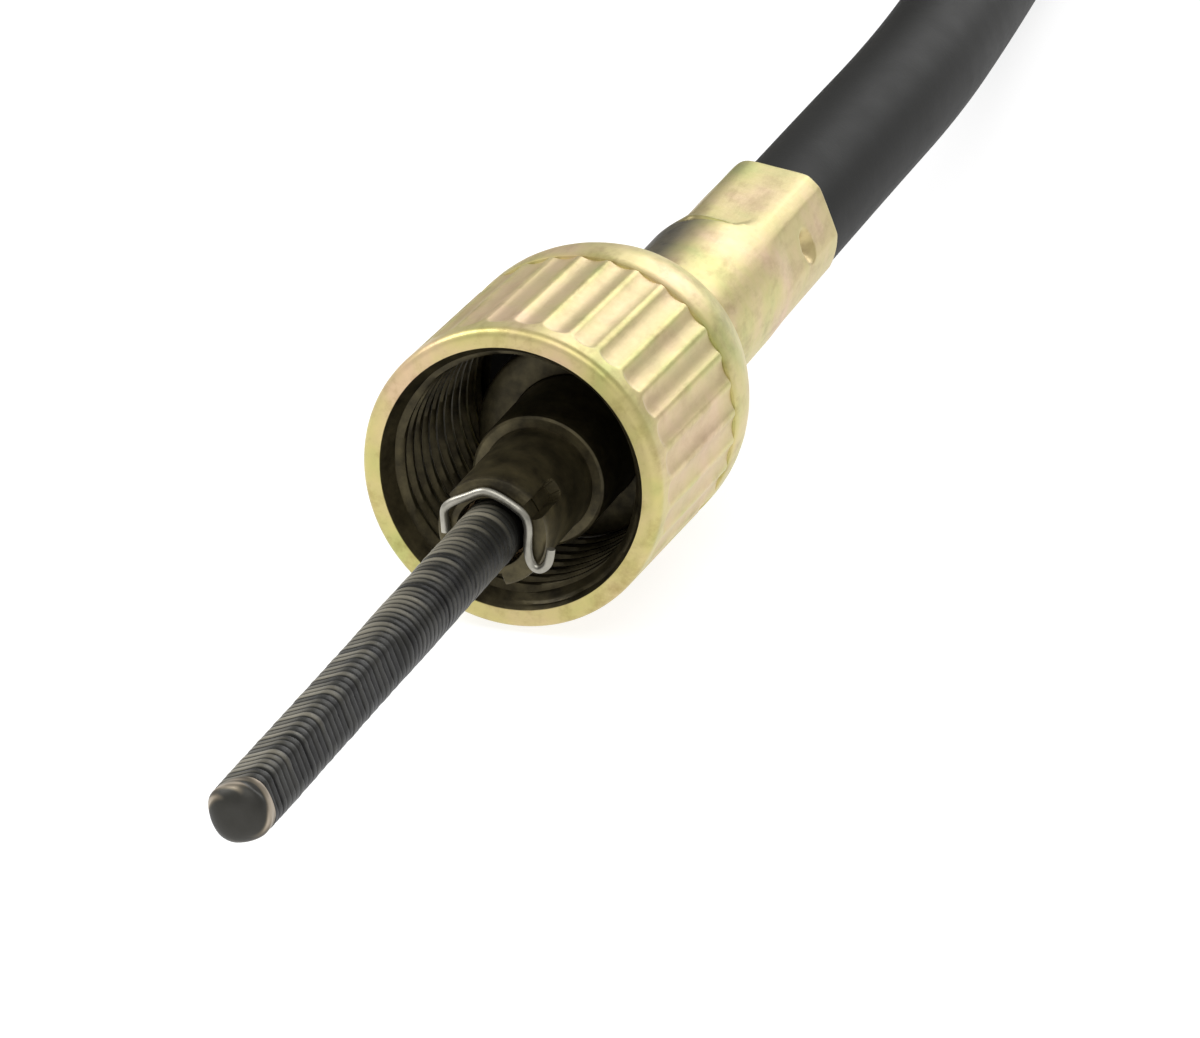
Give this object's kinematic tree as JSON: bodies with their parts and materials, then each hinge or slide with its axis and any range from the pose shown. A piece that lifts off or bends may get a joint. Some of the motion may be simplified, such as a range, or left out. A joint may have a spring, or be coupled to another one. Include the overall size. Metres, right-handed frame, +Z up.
{
  "type": "speedometer drive cable",
  "caption": "Flexible drive cable: a wire-wound square-ended shaft turning inside a black sheath, with a fluted coupling nut and a crimped ferrule on each end.",
  "frame": {"origin": "on the front ferrule's axis, at the front face of its flange where the locating spigot starts", "axes": "+Y along the cable away from the free shaft end, +X to the right seen from the shaft end, +Z up"},
  "size_m": [0.0799, 0.1971, 0.0262],
  "materials": {
    "zinc_plate": "satin",
    "washer_steel": "satin",
    "bush_bronze": "satin",
    "conduit_steel": "satin",
    "liner_nylon": "matte",
    "clip_steel": "polished",
    "shaft_steel": "oiled",
    "sheath_pvc": "matte"
  },
  "bodies": {
    "cable": {"ferrule": "zinc_plate", "nose_bush": "bush_bronze", "conduit_end": "conduit_steel", "liner_end": "liner_nylon", "shaft_clip": "clip_steel", "far_ferrule": "zinc_plate", "far_nose_bush": "bush_bronze", "far_conduit_end": "conduit_steel", "far_liner_end": "liner_nylon", "far_shaft_clip": "clip_steel", "cable_lead": "sheath_pvc", "cable_coil": "sheath_pvc", "cable_tail": "sheath_pvc"},
    "nut_washer_ring": {"nut_washer": "washer_steel"},
    "nut": {"coupling_nut": "zinc_plate"},
    "shaft_washer_ring": {"thrust_washer": "washer_steel"},
    "shaft": {"stop_collar": "conduit_steel", "shaft_winding": "shaft_steel", "shaft_core": "shaft_steel", "shaft_tip": "shaft_steel"},
    "far_nut_washer_ring": {"far_nut_washer": "washer_steel"},
    "far_nut": {"far_coupling_nut": "zinc_plate"},
    "far_shaft_washer_ring": {"far_thrust_washer": "washer_steel"},
    "far_shaft": {"far_stop_collar": "conduit_steel", "far_shaft_winding": "shaft_steel", "far_shaft_core": "shaft_steel", "far_shaft_tip": "shaft_steel"}
  },
  "joints": [
    {"name": "nut_slide", "type": "slide", "parent": "cable", "child": "nut_washer_ring", "axis": [0.0206, 0.9997, -0.0162], "range_m": [-0.003, 0.02]},
    {"name": "nut_spin", "type": "hinge", "parent": "nut_washer_ring", "child": "nut", "pos_m": [-0.0006, 0, 0.00047], "axis": [0.0206, 0.9997, -0.0162], "continuous": true},
    {"name": "shaft_slide", "type": "slide", "parent": "cable", "child": "shaft_washer_ring", "axis": [0, 1, 0], "range_m": [0, 0.01]},
    {"name": "shaft_spin", "type": "hinge", "parent": "shaft_washer_ring", "child": "shaft", "pos_m": [0, 0, 0], "axis": [0, 1, 0], "continuous": true},
    {"name": "far_nut_slide", "type": "slide", "parent": "cable", "child": "far_nut_washer_ring", "axis": [0.0206, 0.9997, -0.0162], "range_m": [-0.003, 0.02]},
    {"name": "far_nut_spin", "type": "hinge", "parent": "far_nut_washer_ring", "child": "far_nut", "pos_m": [-0.056, 0.0952, 0.01247], "axis": [0.0206, 0.9997, -0.0162], "continuous": true},
    {"name": "far_shaft_slide", "type": "slide", "parent": "cable", "child": "far_shaft_washer_ring", "axis": [0, -1, 0], "range_m": [0, 0.01]},
    {"name": "far_shaft_spin", "type": "hinge", "parent": "far_shaft_washer_ring", "child": "far_shaft", "pos_m": [-0.0554, 0.0952, 0.012], "axis": [0, -1, 0], "continuous": true}
  ],
  "couplings": [
    {"joint": "far_shaft_slide", "follows": "shaft_slide", "ratio": 1},
    {"joint": "far_shaft_spin", "follows": "shaft_spin", "ratio": 1}
  ]
}
